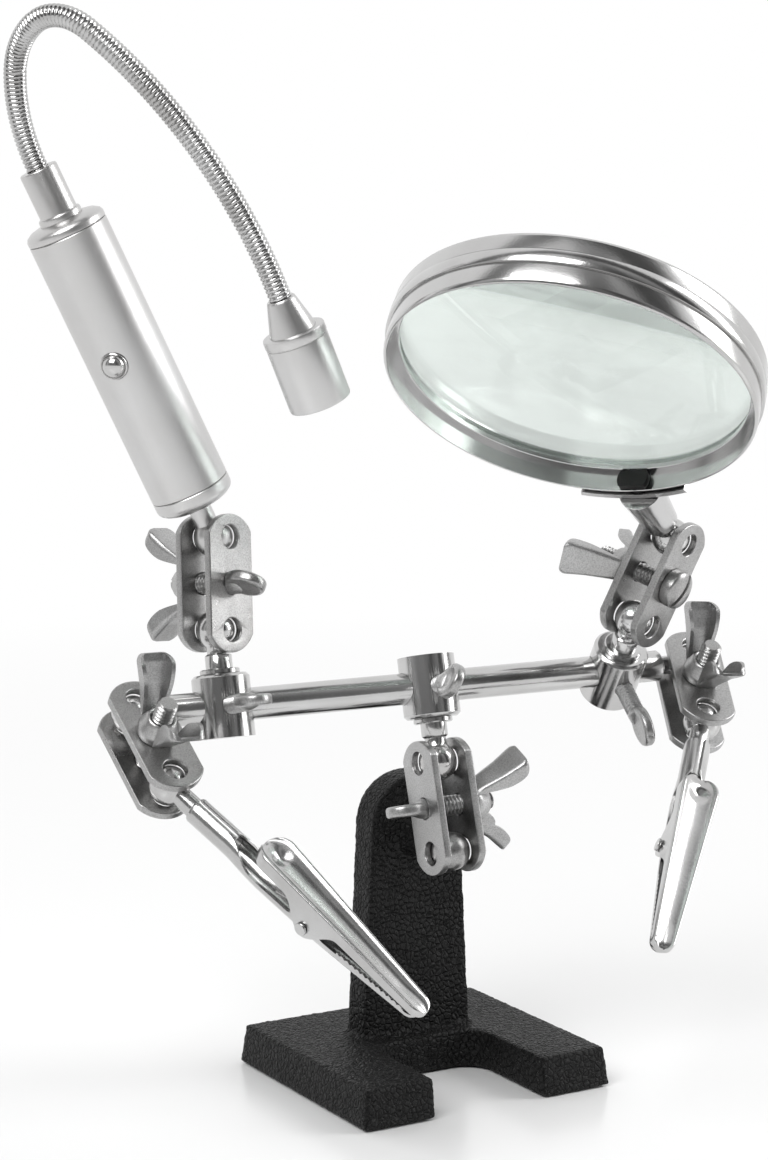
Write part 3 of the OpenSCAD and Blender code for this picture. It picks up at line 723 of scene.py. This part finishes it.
def build_light_body():
    matrix = light_frame()
    r = TUBE_R
    turned_piece("light_tail_cap", matrix,
                 ball(BALL_R, 0, -90, 54) + [(2.1, 3.2), (2.1, 6.6), (2.4, 6.85), (4.9, 6.9), (5.6, 7.0),
                 (6.4, 7.35), (7.05, 7.85), (7.3, 8.25), (r, 8.7), (r, TAIL_L - 0.15), (r - 0.12, TAIL_L),
                 (r - 1.06, TAIL_L), (r - 1.06, TAIL_L + 2.9), (0, TAIL_L + 2.9)])
    low, high = TAIL_L + 0.1, TAIL_L + TUBE_L - 0.1
    profile = [(r - 1, low), (r - 0.12, low), (r, low + 0.15),
               (r, high - 0.15), (r - 0.12, high), (r - 1, high)]
    tube = new_mesh("light_tube_turned", [lathe(profile, 128, True)], matrix, 35)
    button = middle("light_button")
    out = joint_axis("light_button_press")
    if (button - joint_pos("light_tilt")).dot(out) < 0:
        out = -out
    side = place(button, joint_axis("light_turn"), out)
    hole = new_mesh("hole", [lathe([(0, -8), (2.56, -8), (2.56, 8), (0, 8)], 48)], side)
    carve(tube, hole)
    shade(tube, 35)
    finish_piece(tube, "light_tube", paint("light_tube"))
    base = NECK_Z - COLLAR_L
    turned_piece("light_collar", matrix,
                 [(NECK_R + 0.03, base - 3), (r - 1.06, base - 3), (r - 1.06, base), (r - 0.12, base),
                  (r, base + 0.15), (r, base + 0.9), (7.1, base + 1.5), (6.2, base + 2.05),
                  (4.6, base + 2.4), (4.0, base + 2.45), (4.0, base + 3.3), (3.85, base + 3.55),
                  (3.6, base + 3.6), (3.5, base + 3.8), (3.5, NECK_Z - 0.5), (3.35, NECK_Z - 0.25),
                  (3.1, NECK_Z - 0.2), (NECK_R + 0.03, NECK_Z - 0.2)], closed=True)


def bend_arcs():
    """Each bend's start, heading, end and end heading, from the joints and the lamp head."""
    light = light_frame()
    at = light @ Vector((0, 0, NECK_Z))
    heading = joint_axis("light_turn")
    if heading.dot(at - joint_pos("light_tilt")) < 0:
        heading = -heading
    side = joint_axis("neck_bend_2")
    centre, (_, _, lamp) = spread(node_points("lamp_head"))
    if lamp.dot(centre - joint_pos("neck_bend_5")) < 0:
        lamp = -lamp
    arcs = []
    for i in range(2, 6):
        end = joint_pos("neck_bend_%d" % i)
        chord = (end - at).normalized()
        after = (chord * 2 * chord.dot(heading) - heading).normalized()
        arcs.append((at, heading, end, after))
        at, heading = end, after
    # the last bend's end: as far past the corner of its two tangents as its start is before it
    normal = side.cross(lamp)
    to_corner = normal.dot(centre - at) / normal.dot(heading)
    corner = at + heading * to_corner
    arcs.append((at, heading, corner + lamp * to_corner, lamp))
    return arcs


RING = np.linspace(0, 2 * math.pi, 36, endpoint=False)


def build_gooseneck():
    ball_r, cup = NECK_R + 0.03, 2.97
    travelled = 0.0
    for i, (at, heading, end, after) in enumerate(bend_arcs()):
        angle = heading.angle(after)
        radius = (end - at).length / MM / (2 * math.sin(angle / 2))
        length = radius * angle
        side = heading.cross(after).normalized()
        inward = side.cross(heading).normalized()
        matrix = place(at, inward, heading)
        last = i == 4
        start = -4.8 if i == 0 else cup - NECK_R
        tail = 0.0 if last else math.sqrt(ball_r * ball_r - 0.09)
        rows = []
        if i > 0:
            rows.append([(0.02 * math.cos(a), 0.02 * math.sin(a), cup - 0.02) for a in RING])
        for s in np.linspace(start, length + tail, int((length + tail - start) / RIB * 9)):
            bent = min(max(s, 0.0), length) / radius
            beyond = s - length if s > length else min(s, 0.0)
            centre = Vector((radius * (1 - math.cos(bent)), 0, radius * math.sin(bent)))
            outward = Vector((math.cos(bent), 0, -math.sin(bent)))
            along = Vector((math.sin(bent), 0, math.cos(bent)))
            centre = centre + along * beyond
            row = []
            for a in RING:
                ridge = abs(math.sin(math.pi * ((travelled + s) / RIB - a / (2 * math.pi))))
                r = NECK_R - GROOVE * (1 - ridge) ** 1.4
                if s > length:
                    r = min(r, math.sqrt(max(ball_r * ball_r - beyond * beyond, 0.01)))
                if i == 0 and s < 0:
                    r = min(r, NECK_R - 0.1)
                row.append(tuple(centre + outward * (r * math.cos(a)) + Vector((0, r * math.sin(a), 0))))
            rows.append(row)
        travelled += length
        name = "gooseneck_%d" % (i + 1)
        obj = new_mesh(name + "_wound", [grid(rows)], matrix, 75)
        finish_piece(obj, name, paint(name))


def build_lamp():
    _, _, end, lamp = bend_arcs()[-1]
    matrix = place(end, joint_axis("neck_bend_2"), lamp)
    turned_piece("lamp_head", matrix,
                 [(0, 0.05), (2.35, 0.05), (2.5, 0.2), (2.62, 0.5), (4.15, 5.8), (4.2, 6.0), (5.2, 6.0),
                  (5.48, 6.12), (5.56, 6.35), (5.56, 7.55), (5.5, 7.68), (5.34, 7.74), (5.34, 7.84),
                  (5.46, 7.92), (5.5, 8.1), (5.5, 19.25), (5.42, 19.55), (5.2, 19.69), (4.7, 19.69),
                  (4.5, 19.5), (4.5, 12.0), (2.55, 12.0), (2.55, 8.0), (0, 8.0)], sides=128)
    turned_piece("lamp_led", matrix, [(0, 8.12), (2.5, 8.12), (2.5, 15.1)] + ball(2.5, 15.1, 4, 90, 14))


def build_button():
    button = middle("light_button")
    out = joint_axis("light_button_press")
    if (button - joint_pos("light_tilt")).dot(out) < 0:
        out = -out
    axis = joint_axis("light_turn")
    foot = button - joint_pos("light_tilt")
    centre = joint_pos("light_tilt") + axis * foot.dot(axis)
    r = TUBE_R
    turned_piece("light_button", place(centre, axis, out),
                 [(0, r - 3.4), (2.5, r - 3.4), (2.5, r + 0.1), (2.44, r + 0.26), (2.3, r + 0.32),
                  (2.16, r + 0.24), (2.1, r + 0.12), (2.05, r + 0.3), (1.9, r + 0.75), (1.55, r + 1.2),
                  (1.05, r + 1.53), (0.5, r + 1.7), (0, r + 1.75)], sides=64, smooth=50)


# ---------- the magnifier ----------
BAND_R, BAND_H = 34.0, 10.0
LENS_AT = 3.9          # the lens's mid-plane above the band's first edge
SEAT_AT = LENS_AT + 1.3      # the shoulder inside the band that the lens rests on
LENS_EDGE, LENS_BULGE = 1.0, 2.6
POST_L = 52.8          # from the post's ball to the lens's axis
SADDLE_T = 1.2


def build_magnifier():
    lens = node_points("magnifier_lens")
    centre, (axis, _, _) = spread(lens)

    def along(node):
        return node_points(node) @ np.array(axis)

    band = along("magnifier_ring")
    band_mid = (band.max() + band.min()) / 2
    lens_mid = (along("magnifier_lens").max() + along("magnifier_lens").min()) / 2
    origin = centre + axis * (band_mid - centre.dot(axis))
    if lens_mid > band_mid:
        axis = -axis
    matrix = place(origin - axis * (BAND_H / 2 * MM), (0, 0, 1), axis)
    r, seat = BAND_R, SEAT_AT
    ring = new_mesh("magnifier_ring_turned", [lathe([
        (r - 1.2, 0.1), (r - 1.1, 0), (r - 0.8, 0), (r - 0.5, 0.2), (r - 0.34, 0.55), (r - 0.3, 0.8),
        (r - 0.3, 3.3), (r - 0.38, 3.42), (r - 0.38, 3.5), (r - 0.1, 3.56), (r, 3.75), (r, 5.9),
        (r - 0.1, 6.08), (r - 0.62, 6.14), (r - 0.62, 6.24), (r - 0.5, 6.34), (r - 0.5, 9.2),
        (r - 0.58, 9.6), (r - 0.8, 9.92), (r - 1.0, 10), (r - 1.12, 10), (r - 1.2, 9.9),
        (r - 1.2, seat + 0.9), (r - 2.4, seat + 0.9), (r - 2.5, seat + 0.8), (r - 2.5, seat),
        (r - 1.2, seat)], 256, True)], matrix, 32)
    post = joint_pos("magnifier_tilt")
    up = (middle("magnifier_screw") - post).normalized()
    screw_hole = lathe([(0, 10), (1.57, 10), (1.57, 30), (0, 30)], 40)
    carve(ring, new_mesh("hole", [screw_hole], place(post, (0, 1, 0), up)))
    shade(ring, 32)
    finish_piece(ring, "magnifier_ring", paint("magnifier_ring"))
    turned_piece("magnifier_retainer", matrix,
                 [(r - 2.5, seat - 3.5), (r - 2.4, seat - 3.6), (r - 1.4, seat - 3.6),
                  (r - 1.26, seat - 3.5), (r - 1.26, seat - 2.62), (r - 2.5, seat - 2.62)],
                 sides=192, closed=True)
    out = lens - np.array(centre)
    out = out - np.outer(out @ np.array(axis), np.array(axis))
    lens_r = float(np.linalg.norm(out, axis=1).max()) / MM
    big = (lens_r ** 2 + LENS_BULGE ** 2) / (2 * LENS_BULGE)
    crown = LENS_EDGE + LENS_BULGE - big
    face = [(x, crown + math.sqrt(big * big - x * x)) for x in np.linspace(lens_r, 0, 32)]
    back = [(x, -z) for x, z in reversed(face)]
    turned_piece("magnifier_lens", matrix @ Matrix.Translation((0, 0, LENS_AT)), back + face, sides=160)
    top = POST_L - BAND_R - SADDLE_T
    turned_piece("magnifier_post", place(post, (0, 1, 0), up),
                 ball(BALL_R, 0, -90, 58) + [(1.9, 3.3), (1.9, 5.85), (3.1, 5.95), (3.3, 6.1),
                 (4.22, top - 0.3), (4.24, top - 0.1), (4.1, top), (1.5, top), (1.5, top - 4),
                 (0, top - 4)])


# ---------- the clips ----------
# clip frame: ball at the origin, jaws along +Z, lever on +Y, pivot pin along X
CLIP_L = 62.0
PIN_Z, PIN_Y = 37.0, -0.4
BARREL_Z = 7.0        # where the barrel starts on its stud
TAIL_Z, TAIL_Y = 26.0, 4.2
TAIL_R, NOSE_R = 3.75, 2.1
LEVER_LEAN = math.atan((TAIL_Y - 0.3) / (CLIP_L - 1 - TAIL_Z))
LEVER_L = math.hypot(CLIP_L - 1 - TAIL_Z, TAIL_Y - 0.3)
GAUGE = 0.55          # sheet thickness


def clip_frame(side):
    at = joint_pos(side + "_clip_tilt")
    grip = [m for m in frame["record"]["mounts"] if m["name"] == side + "_clip_grip"][0]
    z, x = Vector(grip["axis"]), joint_axis(side + "_lever_squeeze")
    if (middle(side + "_clip_lever") - at).dot(z.cross(x)) < 0:
        x = -x
    return place(at, x, z)


def lever_rows():
    """Sections of the lever's channel: a hollow back with a raised rim, a thumb dimple and pin ears."""
    across_back = np.linspace(-1, 1, 33)
    stops = [-TAIL_R + 0.02 + 3.7 * (1 - math.cos(a)) for a in np.linspace(0.0, math.pi / 2, 12)]
    stops += list(np.linspace(0.2, LEVER_L, 60))
    stops += [LEVER_L + NOSE_R * math.sin(a) for a in np.linspace(0.15, 1.5, 9)]
    rows = []
    for u in stops:
        full = TAIL_R + (NOSE_R - TAIL_R) * min(max(u, 0), LEVER_L) / LEVER_L
        end = 1.0
        if u < 0:
            end = math.sqrt(max(1 - (u / TAIL_R) ** 2, 0.0))
        elif u > LEVER_L:
            end = math.sqrt(max(1 - ((u - LEVER_L) / NOSE_R) ** 2, 0.0))
        w = max(full * end, 0.12)
        rise = max(end, 0.1) ** 0.5
        ear = hump(u - (PIN_Z - TAIL_Z) / math.cos(LEVER_LEAN) - 0.5, 6.5)
        wall = -5.1 * ear
        flare = max(0.0, 3.5 - w) * min(1.0, 2.2 * ear)
        gauge = min(GAUGE, 0.45 * w)
        outer, inner = [], []
        for k in across_back:
            a = abs(k)
            # shoulder from the wall to the rim, then the hollow inside the rim
            if a > 0.8:
                t = (1 - a) / 0.2
                x, h = w * (1 - 0.10 * t * t), full * rise * (0.30 + 0.46 * math.sin(t * math.pi / 2))
            else:
                x = w * 0.90 * a / 0.8
                lip = hump(a - 0.74, 0.13)
                h = full * rise * (0.50 + 0.23 * (a / 0.8) ** 2 + 0.06 * lip)
                h -= 0.6 * hump(math.hypot(x, u - 0.6), 2.3) * min(1.0, end)
                if u > LEVER_L - 6:
                    h += 0.5 * full * 0.2 * hump(u - LEVER_L - 0.5, 5) * (1 - a)
            x = math.copysign(x, k)
            outer.append((x, h))
            inner.append((x * (w - gauge) / w, h - gauge))
        left_out = [(-(w + flare), wall), (-(w + flare), wall * 0.6), (-(w + flare * 0.4), wall * 0.2)]
        left_in = [(x + gauge, h) for x, h in left_out]
        loop = (left_out + outer + [(-x, h) for x, h in reversed(left_out)]
                + [(-x, h) for x, h in left_in] + list(reversed(inner)) + list(reversed(left_in)))
        rows.append([(x, h, u) for x, h in loop])
    return rows


def jaw_rows():
    """Sections of the fixed jaw: a slit barrel that opens into a channel with pin ears and teeth."""
    rows = []
    stops = [BARREL_Z, BARREL_Z + 0.25] + list(np.linspace(BARREL_Z + 1, CLIP_L - 18, 64))
    stops += list(np.linspace(CLIP_L - 17.9, CLIP_L - 1.9, 130))
    stops += [CLIP_L - 1.9 + 2.0 * math.sin(a) for a in np.linspace(0.2, 1.5, 8)]
    for z in stops:
        t = min(max((z - 15.5) / 8.0, 0.0), 1.0)
        t = t * t * (3 - 2 * t)                     # 0 in the barrel, 1 in the channel
        r = 2.5 + 0.4 * min(max((z - 17) / 8, 0), 1)
        if z > 40:
            r = 2.9 - 0.9 * (z - 40) / (CLIP_L - 1.9 - 40)
        if z > CLIP_L - 1.9:
            r = 2.0 * math.sqrt(max(1 - ((z - CLIP_L + 1.9) / 2.0) ** 2, 0.004))
        if z < BARREL_Z + 0.2:
            r -= 0.12
        gauge = min(0.5 + 0.06 * t, 0.45 * r)
        y0 = PIN_Y * t
        beyond = (1 - t) * 74.0                     # how far each wall curls over past the middle
        rise = 2.0 * hump(z - PIN_Z, 4.5)
        if CLIP_L - 17.5 < z < CLIP_L - 2.2:
            rise += 0.12 + 0.42 * abs(math.sin(math.pi * (z - CLIP_L) / 1.2))
        outer = [(r * math.cos(math.radians(a)), y0 + r * math.sin(math.radians(a)))
                 for a in np.linspace(beyond, -180 - beyond, 41)]
        inner = [(x * (r - gauge) / r, y0 + (y - y0) * (r - gauge) / r) for x, y in outer]
        add = [(outer[0][0], outer[0][1] + rise), (outer[0][0], outer[0][1] + rise * 0.5)]
        loop = (add + outer + [(-x, y) for x, y in reversed(add)]
                + [(-x + gauge * (1 - beyond / 74), y) for x, y in add] + list(reversed(inner))
                + [(x - gauge * (1 - beyond / 74), y) for x, y in reversed(add)])
        rows.append([(x, y, z) for x, y in loop])
    return rows


def build_clips():
    lever_at = Matrix.Translation((0, TAIL_Y, TAIL_Z)) @ Matrix.Rotation(LEVER_LEAN, 4, "X")
    for side in ("left", "right"):
        matrix = clip_frame(side)
        lever = side + "_clip_lever"
        obj = new_mesh(lever + "_pressed", [turned(grid(lever_rows()), lever_at)], matrix, 55)
        finish_piece(obj, lever, paint(lever))
        jaw = side + "_clip_jaw"
        obj = new_mesh(jaw + "_pressed", [grid(jaw_rows())], matrix, 50)
        finish_piece(obj, jaw, paint(jaw))
        shank = [(1.93, 3.2), (1.93, 16.9), (1.8, 17)]
        turned_piece(side + "_clip_stud", matrix, ball(BALL_R, 0, -90, 57) + shank)


build_base()
build_clamps()
build_blocks()
build_rod()
build_light_body()
build_gooseneck()
build_lamp()
build_button()
build_magnifier()
build_clips()

ENDINGS = ("_cast", "_turned", "_pressed", "_spade", "_head", "_wound")
DONE = {node for node in frame["nodes"] if any(bpy.data.objects.get(node + ending) for ending in ENDINGS)}
PLAIN = ("light_switch", "light_cells")      # hidden inside the tube
for name in sorted(set(frame["nodes"]) - DONE - set(PLAIN)):
    softened(name, paint(name), 0.12 if "clip" in name else 0.2)
for name in PLAIN:
    for material_slot in frame["nodes"][name].material_slots:
        material_slot.material = paint(name)


# ---------- camera, floor and light ----------
CAMERA_AT = Vector((-0.2675, -0.4465, 0.1674))
CAMERA_AZIMUTH = 30.15      # from +Y towards +X
CAMERA_DOWN = 7.8
CAMERA_ROLL = -0.2
CAMERA_LENS = 86.55         # millimetres, on a sensor 36 mm high


def build_camera():
    data = bpy.data.cameras.new("camera")
    data.sensor_fit = "VERTICAL"
    data.sensor_height = 36.0
    data.lens = CAMERA_LENS
    data.clip_end = 20.0
    camera = bpy.data.objects.new("camera", data)
    bpy.context.collection.objects.link(camera)
    camera.rotation_mode = "XYZ"
    turn = (Matrix.Rotation(math.radians(-CAMERA_AZIMUTH), 4, "Z")
            @ Matrix.Rotation(math.radians(90 - CAMERA_DOWN), 4, "X")
            @ Matrix.Rotation(math.radians(CAMERA_ROLL), 4, "Z"))
    camera.matrix_world = Matrix.Translation(CAMERA_AT) @ turn
    bpy.context.scene.camera = camera


def build_floor():
    rows = [[(r * math.cos(a), r * math.sin(a), -0.0002) for a in
             np.linspace(0, 2 * math.pi, 96, endpoint=False)] for r in (0.001, 6.0)]
    points, faces = grid(rows, caps=False)
    mesh = bpy.data.meshes.new("floor")
    mesh.from_pydata(points, [], faces + [tuple(range(96))])
    floor = bpy.data.objects.new("floor", mesh)
    bpy.context.collection.objects.link(floor)
    n = Nodes("floor")
    n.set(Base_Color=n.mix(n.noise(3.0), grey(0.84), grey(0.87)), Roughness=0.22, Specular_IOR_Level=0.35)
    # the floor fades into the white round it
    far = n.add("ShaderNodeVectorMath", operation="LENGTH")
    n.link(n.coords, far.inputs[0])
    glow = n.add("ShaderNodeEmission", Color=(1, 1, 1, 1), Strength=1.0)
    fade = n.tree.nodes.new("ShaderNodeMixShader")
    n.link(n.span(far.outputs["Value"], 0.0, 1.0, 0.12, 0.6), fade.inputs[0])
    n.link(n.shader.outputs[0], fade.inputs[1])
    n.link(glow.outputs[0], fade.inputs[2])
    n.link(fade.outputs[0], n.tree.nodes["Material Output"].inputs["Surface"])
    mesh.materials.append(n.material)


def area_light(name, at, towards, size, power):
    data = bpy.data.lights.new(name, "AREA")
    data.shape = "RECTANGLE"
    data.size, data.size_y = size
    data.energy = power
    light = bpy.data.objects.new(name, data)
    bpy.context.collection.objects.link(light)
    light.location = at
    light.rotation_euler = (Vector(towards) - Vector(at)).to_track_quat("-Z", "Y").to_euler()


def build_world():
    """A white tent with a darker room behind the camera and dark cards at its sides, for the metal."""
    world = bpy.data.worlds.new("studio")
    bpy.context.scene.world = world
    world.use_nodes = True
    tree = world.node_tree
    coords = tree.nodes.new("ShaderNodeTexCoord")

    def math_node(operation, a, b=None):
        node = tree.nodes.new("ShaderNodeMath")
        node.operation = operation
        for socket, value in zip(node.inputs, (a, b)):
            if hasattr(value, "is_output"):
                tree.links.new(value, socket)
            elif value is not None:
                socket.default_value = value
        return node.outputs[0]

    def facing(direction):
        node = tree.nodes.new("ShaderNodeVectorMath")
        node.operation = "DOT_PRODUCT"
        node.inputs[1].default_value = Vector(direction).normalized()
        tree.links.new(coords.outputs["Generated"], node.inputs[0])
        return node.outputs["Value"]

    def fall(value, low, high, a, b):
        node = tree.nodes.new("ShaderNodeMapRange")
        node.interpolation_type = "SMOOTHSTEP"
        for key, number in (("From Min", low), ("From Max", high), ("To Min", a), ("To Max", b)):
            node.inputs[key].default_value = number
        tree.links.new(value, node.inputs["Value"])
        return node.outputs["Result"]

    behind = Vector((CAMERA_AT.x, CAMERA_AT.y, 0.0)).normalized()
    level = fall(facing(behind), -0.1, 0.85, 1.0, 0.17)
    for turn, width, dark in ((62, 0.10, 0.12), (-78, 0.07, 0.2), (20, 0.06, 0.5)):
        card = Matrix.Rotation(math.radians(turn + 90), 3, "Z") @ behind
        strip = fall(math_node("ABSOLUTE", facing(card)), width, width + 0.12, dark, 1.0)
        front = fall(facing(Matrix.Rotation(math.radians(turn), 3, "Z") @ behind), -0.1, 0.2, 1.0, 0.0)
        level = math_node("MULTIPLY", level, math_node("MAXIMUM", strip, front))
    background = tree.nodes["Background"]
    tree.links.new(level, background.inputs["Color"])
    background.inputs["Strength"].default_value = 1.0


build_camera()
build_floor()
build_world()
area_light("key", (-0.9, -0.5, 1.1), (0, 0, 0.1), (0.9, 0.9), 14)
area_light("side", (1.0, -0.5, 0.6), (0, 0, 0.1), (0.4, 1.0), 7)
bpy.context.scene.view_settings.view_transform = "Standard"
